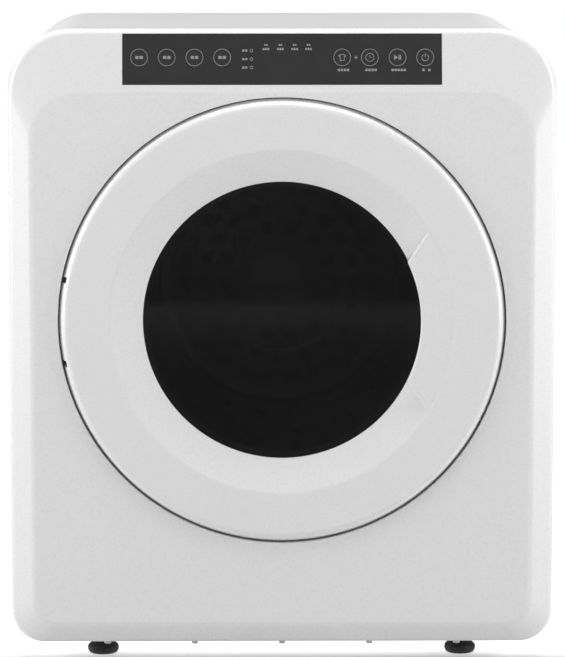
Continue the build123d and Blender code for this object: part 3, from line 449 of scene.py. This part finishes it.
# ------------------------------------------------------------------ the printed marks
INK_GREY = ink()
ICONS = {5: shirt, 6: clock, 7: play_pause, 8: power}


def key_x(number):
    """The place of a key along the strip, in mm."""
    low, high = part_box(f"key_{number}")
    return (low.x + high.x) / 2 / MM


for number in range(1, 9):
    x = key_x(number)
    marks = ring(x, KEY_ROW, 7.85, 0.5)
    if number in ICONS:
        marks += ICONS[number](x, KEY_ROW)
    else:
        marks += word(x, KEY_ROW, 7.6, 2.8, 2)
    print_marks(f"key_{number}_marks", marks, KEY_PROUD, f"key_{number}")

LABEL_ROW = 13.4
LEGEND_COLUMNS = (-14.5, -1.6, 11.2, 23.6)
LAMP_ROWS = (31.0, 23.3, 15.6)
strip_marks = plus((key_x(5) + key_x(6)) / 2, KEY_ROW)
for number, letters in ((5, 4), (6, 4), (7, 5)):
    strip_marks += word(key_x(number) + 1, LABEL_ROW, 2.7 * letters, 2.2, letters)
for side in (-2.6, 2.6):
    strip_marks += [bar(key_x(8) + 1 + side, LABEL_ROW, 2.2, 2.2)]
for column in LEGEND_COLUMNS:
    strip_marks += word(column, 36.1, 3.6, 1.6, 2)
    strip_marks += word(column, 32.4, 6.4, 2.0, 3)
for row in LAMP_ROWS:
    strip_marks += word(-33.6, row, 5.2, 2.0, 2)
    strip_marks += ring(-27.6, row, 1.5, 0.45)
print_marks("strip_marks", strip_marks, 0, "cabinet")


# ------------------------------------------------------------------ meshes
# the faces of a box whose corners are given as four at one end, then four at the other
BOX_FACES = ((3, 2, 1, 0), (4, 5, 6, 7), (0, 1, 5, 4), (1, 2, 6, 5), (2, 3, 7, 6), (3, 0, 4, 7))


def shifted(faces, first):
    """Faces renumbered for a mesh in which their own vertices start at this number."""
    return [tuple(first + n for n in face) for face in faces]


def meshed(name, vertices, faces, slot):
    """A flat-shaded mesh object with the material of a slot."""
    mesh = bpy.data.meshes.new(name)
    mesh.from_pydata(vertices, [], faces)
    mesh.validate()
    mesh.materials.append(MATERIALS[slot])
    piece = placed(name, mesh)
    return piece


def swept(loops, closed):
    """Faces between neighbouring loops of points; closed joins the last loop to the first."""
    vertices = [point for loop in loops for point in loop]
    sides, count = len(loops[0]), len(loops)
    faces = []
    for step in range(count if closed else count - 1):
        here, ahead = step * sides, (step + 1) % count * sides
        for side in range(sides):
            turn = (side + 1) % sides
            faces.append((here + side, here + turn, ahead + turn, ahead + side))
    if not closed:
        faces.append(tuple(range(sides))[::-1])
        faces.append(tuple(range((count - 1) * sides, count * sides)))
    return vertices, faces


def lathed(profile, sides=40):
    """A closed solid turned about +Z from (radius, height) points; both ends are flat caps."""
    loops = [[(r * MM * math.cos(a), r * MM * math.sin(a), z * MM) for a in full_turn(sides)]
             for r, z in profile]
    return swept(loops, False)


# ------------------------------------------- screws with a cross recess and a thread
THREAD_PITCH = 0.8
THREAD_ROOT_LENGTH = 0.15
SCREW_TIP = 0.9


def screw_mesh(head, shank, thread, root):
    """One screw about +Z with its head above zero, from profiles in mm."""
    profile = [(0.05, thread[0] - SCREW_TIP), (root, thread[0])]
    z, pitch, flat = thread[0], THREAD_PITCH, THREAD_ROOT_LENGTH
    while z + pitch < thread[1]:
        profile += [(root, z + flat), (shank, z + pitch / 2), (root, z + pitch - flat)]
        z += pitch
    profile += [(root, thread[1]), (shank, thread[1] + 0.2)] + head
    return lathed(profile)


def recess_mesh(top, depth, reach, width):
    """A tapered cross that is cut into a screw's head."""
    vertices, faces = [], []
    for quarter in (0, 90):
        a = math.radians(quarter)
        first = len(vertices)
        ends = ((top - depth, reach * 0.35, width * 0.3), (top + 0.2, reach, width / 2))
        for z, half_length, half_width in ends:
            for sx, sy in ((-1, -1), (1, -1), (1, 1), (-1, 1)):
                x, y = sx * half_length, sy * half_width
                vertices.append(((x * math.cos(a) - y * math.sin(a)) * MM,
                                 (x * math.sin(a) + y * math.cos(a)) * MM, z * MM))
        faces += shifted(BOX_FACES, first)
    return vertices, faces


def recessed(solid, cutter):
    """A screw's mesh with the cross cut into its head, as vertices and faces."""
    target = meshed("screw_blank", *solid, "screw_steel")
    tool = meshed("cross", *cutter, "screw_steel")
    cut = target.modifiers.new("cross", "BOOLEAN")
    cut.object, cut.operation, cut.solver, cut.use_self = tool, "DIFFERENCE", "EXACT", True
    bpy.context.view_layer.update()
    done = target.evaluated_get(bpy.context.evaluated_depsgraph_get()).to_mesh()
    vertices = [tuple(v.co) for v in done.vertices]
    faces = [tuple(f.vertices) for f in done.polygons]
    for scrap in (target, tool):
        bpy.data.objects.remove(scrap)
    return vertices, faces


# how far the cross of each screw is turned from the one before, in degrees
SCREW_TURN, FIRST_SCREW_TURN = 37, 20


def screws(node, body, places, facing, screw):
    """Stand the same screw at each place, its head towards one direction, in place of a node."""
    turn = Vector((0, 0, 1)).rotation_difference(facing).to_matrix()
    vertices, faces = [], []
    for number, place in enumerate(places):
        spin = Matrix.Rotation(math.radians(SCREW_TURN * number + FIRST_SCREW_TURN), 3, "Z")
        faces += shifted(screw[1], len(vertices))
        vertices += [place + turn @ spin @ Vector(point) for point in screw[0]]
    piece = meshed(node + "_detailed", vertices, faces, "screw_steel")
    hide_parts(node)
    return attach(piece, body)


def islands(node):
    """The low and high corners of each separate solid of a node."""
    mesh = frame["nodes"][node].data
    parent = list(range(len(mesh.vertices)))

    def root_of(n):
        while parent[n] != n:
            parent[n] = parent[parent[n]]
            n = parent[n]
        return n

    same = {}
    for vertex in mesh.vertices:
        key = tuple(round(c, 6) for c in vertex.co)
        parent[vertex.index] = same.setdefault(key, vertex.index)
    for edge in mesh.edges:
        one, two = (root_of(n) for n in edge.vertices)
        parent[one] = two
    groups = {}
    for vertex in mesh.vertices:
        groups.setdefault(root_of(vertex.index), []).append(vertex.co.copy())
    corners = []
    for points in groups.values():
        low = Vector([min(p[n] for p in points) for n in range(3)])
        high = Vector([max(p[n] for p in points) for n in range(3)])
        corners.append((low, high))
    return corners


# the two heads as (radius, height) points in mm
PAN_HEAD = [(1.7, 0.0), (3.7, 0.02), (3.8, 0.15), (3.72, 0.9),
            (3.3, 1.45), (2.5, 1.82), (1.3, 1.97), (0.05, 2.0)]
FLAT_HEAD = [(1.9, 0.0), (2.9, 0.02), (3.0, 0.1), (3.0, 1.7), (2.9, 2.0), (2.2, 2.55), (0.05, 2.6)]


def seated_screws():
    """Every visible set of screws, each on the seat its node's solids give."""
    back, down = Vector((0, 1, 0)), Vector((0, 0, -1))
    pan_top, flat_top = PAN_HEAD[-1][1], FLAT_HEAD[-1][1]
    rear = recessed(screw_mesh(PAN_HEAD, 1.7, (-5.0, -1.2), 1.35),
                    recess_mesh(pan_top, 1.3, 2.1, 0.85))
    places = [Vector(((low.x + high.x) / 2, high.y - pan_top * MM, (low.z + high.z) / 2))
              for low, high in islands("rear_panel_screws")]
    screws("rear_panel_screws", "cabinet", places, back, rear)
    under = recessed(screw_mesh(FLAT_HEAD, 1.9, (-7.5, -0.6), 1.5),
                     recess_mesh(flat_top, 1.5, 1.7, 0.75))
    places = [Vector(((low.x + high.x) / 2, (low.y + high.y) / 2, low.z + flat_top * MM))
              for low, high in islands("front_panel_screws")]
    screws("front_panel_screws", "cabinet", places, down, under)


seated_screws()


# ------------------------------------------------------------------ ribbed belts
def belt_run(circles, gap, steps=64):
    """A taut loop round two circles, as (place, outward direction) pairs in X and Z."""
    (x0, z0, r0), (x1, z1, r1) = circles
    span, heading = math.hypot(x1 - x0, z1 - z0), math.atan2(z1 - z0, x1 - x0)
    lean = math.acos((r0 - r1) / span)
    run = []
    for x, z, r, start, end in ((x0, z0, r0, heading + lean, heading + 2 * math.pi - lean),
                                (x1, z1, r1, heading - lean, heading + lean)):
        for step in range(steps + 1):
            a = start + (end - start) * step / steps
            out = Vector((math.cos(a), math.sin(a)))
            run.append((Vector((x, z)) + out * (r + gap), out))
    return run


BELT_THICKNESS, BELT_RIB, BELT_GAP = 2.4 * MM, 1.0 * MM, 0.4 * MM


def ribbed_belt(node, circles, ribs=5):
    """A belt with ribs along its inner face, in place of a plain one."""
    low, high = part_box(node)
    width, thickness, rib = high.y - low.y, BELT_THICKNESS, BELT_RIB
    across = [(low.y, thickness), (high.y, thickness), (high.y, rib)]
    for step in range(ribs):
        right = high.y - width * step / ribs
        left = right - width / ribs
        third = (right - left) / 3
        end = left if step < ribs - 1 else low.y
        across += [(right - third, 0), (left + third, 0), (end, rib)]
    loops = []
    for place, out in belt_run(circles, BELT_GAP):
        loops.append([(place.x + out.x * up, y, place.y + out.y * up) for y, up in across])
    piece = meshed(node + "_ribbed", *swept(loops, True), "rubber_black")
    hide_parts(node)
    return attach(piece, "cabinet")


def middle(node):
    """The middle of a node's box."""
    low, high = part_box(node)
    return (low + high) / 2


DRUM_X, DRUM_Z = middle("drum_shell").x, middle("drum_shell").z
MOTOR_X, MOTOR_Z = middle("motor_rotor").x, middle("motor_rotor").z
# the radii that the belts run on: the drum and the motor's small pulley,
# then the fan's pulley and the motor's large one
DRUM_RUN, MOTOR_RUN = 215 * MM, 8.75 * MM
FAN_RUN, FAN_DRIVE_RUN = 20 * MM, 30 * MM
ribbed_belt("drum_belt", ((DRUM_X, DRUM_Z, DRUM_RUN), (MOTOR_X, MOTOR_Z, MOTOR_RUN)))
ribbed_belt("fan_belt", ((DRUM_X, DRUM_Z, FAN_RUN), (MOTOR_X, MOTOR_Z, FAN_DRIVE_RUN)))


# ------------------------------------------------------------------ tensioner spring
def squeezed_spring():
    """The tensioner's coil, as a mesh of its own on the cabinet."""
    coil = placed("tensioner_coil", frame["nodes"]["tensioner_spring"].data.copy())
    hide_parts("tensioner_spring")
    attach(coil, "cabinet")
    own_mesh(coil)


squeezed_spring()


# ------------------------------------------------------------------ woven lint screen
SCREEN_RIM = 2 * MM
SCREEN_HEM = 1 * MM


def lint_screen(pitch=2.0 * MM, wire=0.22 * MM):
    """Two crossing layers of fine wires inside a hemmed rim, in place of a plain disc."""
    low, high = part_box("lint_filter_mesh")
    centre, radius = (low + high) / 2, (high.x - low.x) / 2
    rows = int(radius / pitch)
    vertices, faces = [], []

    def strand(ends, y):
        along = (ends[1] - ends[0]).normalized()
        side = Vector((-along.z, 0, along.x)) * wire / 2
        first = len(vertices)
        for end in ends:
            for s, t in ((-1, 0), (1, 0), (1, 1), (-1, 1)):
                vertices.append(end + side * s + Vector((0, y + wire * t, 0)))
        faces.extend(shifted(BOX_FACES, first))

    for row in range(-rows, rows + 1):
        reach = math.sqrt(max(0.0, (radius - SCREEN_HEM) ** 2 - (row * pitch) ** 2))
        if reach > pitch:
            up, over = row * pitch, centre.y
            ends = Vector((-reach, over, up + centre.z)), Vector((reach, over, up + centre.z))
            strand(ends, -wire)
            ends = Vector((up, over, centre.z - reach)), Vector((up, over, centre.z + reach))
            strand(ends, 0)
    inside = radius - SCREEN_RIM
    section = (inside, low.y), (radius, low.y), (radius, high.y), (inside, high.y)
    rim = [[(centre.x + r * math.cos(a), y, centre.z + r * math.sin(a)) for r, y in section]
           for a in full_turn(96)]
    rim_vertices, rim_faces = swept(rim, True)
    faces += shifted(rim_faces, len(vertices))
    vertices += [Vector(point) for point in rim_vertices]
    piece = meshed("lint_screen", vertices, faces, "filter_mesh")
    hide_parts("lint_filter_mesh")
    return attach(piece, "lint_filter")


lint_screen()


# ------------------------------------------------------------------ floor, light and camera
FLOOR_HALF = 30
# how strongly the floor glows at full, beside the object, and how bright the surround is; the full
# glow under and behind the object is painted light that fills the object's shadow on the floor
FLOOR_GLOW = 1.0
SIDE_GLOW = 0.05
SURROUND = 0.02
# where the glow fades or grows, as (start, end): the first in X, two in Y, the last from the origin
BESIDE = (0.34, 0.6)
BEHIND = (FRONT_Y + 0.02, FRONT_Y + 0.07)
DEEP = (0.5, 1.3)
FAR = (2.5, 7)


def floor():
    """A plain pale floor that glows white under and behind the object, deep in the view and far
    away; the glow under and behind it is painted light that fills the object's shadow there.
    """
    half = FLOOR_HALF
    mesh = bpy.data.meshes.new("floor")
    square = ((-half, -half), (half, -half), (half, half), (-half, half))
    corners = [(x, y, FLOOR_Z) for x, y in square]
    mesh.from_pydata(corners, [], [(0, 1, 2, 3)])
    s = Surface("floor", Roughness=0.9, Emission_Color=(1, 1, 1, 1))
    s.colour(s.ramp(s.noise(3, 2), grey(206), grey(210)))
    beside = s.between(s.combined("ABSOLUTE", s.axis("X")), FLOOR_GLOW, SIDE_GLOW, *BESIDE)
    # painted light: the floor glows under and just behind the object, filling the shadow the object
    # casts there
    behind = s.combined("MULTIPLY", beside, s.between(s.axis("Y"), 0, 1, *BEHIND))
    deep = s.between(s.axis("Y"), 0, FLOOR_GLOW, *DEEP)
    far = s.between(s.reach(), 0, FLOOR_GLOW, *FAR)
    glow = s.combined("MAXIMUM", s.combined("MAXIMUM", behind, deep), far)
    s.links.new(glow, s.shader.inputs["Emission Strength"])
    mesh.materials.append(s.material)
    piece = placed("floor", mesh)


# every softbox points here
AIM = Vector((0, 0, 0.3))
# these two only fill: no glossy surface mirrors them
FILLS = ("front", "low")
# name, azimuth, elevation, distance, width, height, radiance
SOFTBOXES = (
    ("left", -73, 11, 2.2, 1.0, 1.6, 5.6),
    ("right", 73, 11, 2.2, 1.0, 1.6, 5.4),
    ("front", 0, 14, 4.2, 1.4, 1.0, 2.1),
    ("low", 0, -1, 3.0, 2.4, 0.4, 3.3),
    ("top", 0, 84, 2.4, 2.0, 2.0, 4.65),
    ("back_left", -155, 30, 2.6, 1.4, 1.4, 0.9),
    ("back_right", 155, 30, 2.6, 1.4, 1.4, 0.9),
)


def softboxes():
    """Soft rectangular lights around the object, none of them seen by the camera."""
    for name, azimuth, elevation, distance, width, height, radiance in SOFTBOXES:
        lamp = bpy.data.lights.new(name, "AREA")
        lamp.shape = "RECTANGLE"
        lamp.size = width
        lamp.size_y = height
        lamp.energy = math.pi * width * height * radiance
        a, e = math.radians(azimuth), math.radians(elevation)
        way = Vector((math.sin(a) * math.cos(e), -math.cos(a) * math.cos(e), math.sin(e)))
        box = placed(name, lamp)
        box.location = AIM + way * distance
        box.rotation_euler = (-way).to_track_quat("-Z", "Y").to_euler()
        box.visible_camera = False
        box.visible_glossy = name not in FILLS


GLIMMER_SIZE, GLIMMER_ENERGY = 0.05, 0.07
GLIMMER_PLACE = Vector((-0.14, FRONT_Y + 0.085, DRUM_Z + 0.12))
GLIMMER_AIM = Vector((0.11, FRONT_Y + 0.315, DRUM_Z - 0.08))


def drum_glimmer():
    """A small light behind the door's bowl, which picks out the steps of the drum's rear wall."""
    lamp = bpy.data.lights.new("drum_glimmer", "AREA")
    lamp.size = GLIMMER_SIZE
    lamp.energy = GLIMMER_ENERGY
    glimmer = placed("drum_glimmer", lamp)
    glimmer.location = GLIMMER_PLACE
    way = GLIMMER_AIM - glimmer.location
    glimmer.rotation_euler = way.to_track_quat("-Z", "Y").to_euler()
    glimmer.visible_camera = False


def surroundings(strength):
    """An even white surround."""
    world = bpy.data.worlds.new("surroundings")
    world.use_nodes = True
    background = world.node_tree.nodes["Background"]
    background.inputs["Color"].default_value = (1, 1, 1, 1)
    background.inputs["Strength"].default_value = strength
    bpy.context.scene.world = world


# the camera's focal length in mm, its place, and its angles in degrees
LENS = 207.7
EYE = (-0.033, FRONT_Y - 3.4, 0.737)
LOOK_DOWN, LOOK_RIGHT = 7.16, 0.56


def camera():
    """A long lens a little above the object, looking slightly down."""
    lens = bpy.data.cameras.new("camera")
    lens.lens = LENS
    lens.clip_start, lens.clip_end = 0.1, 100
    eye = placed("camera", lens)
    eye.location = EYE
    eye.rotation_euler = (math.radians(90 - LOOK_DOWN), 0, math.radians(-LOOK_RIGHT))
    bpy.context.scene.camera = eye


floor()
softboxes()
drum_glimmer()
surroundings(SURROUND)
camera()
bpy.context.scene.view_settings.view_transform = "Standard"
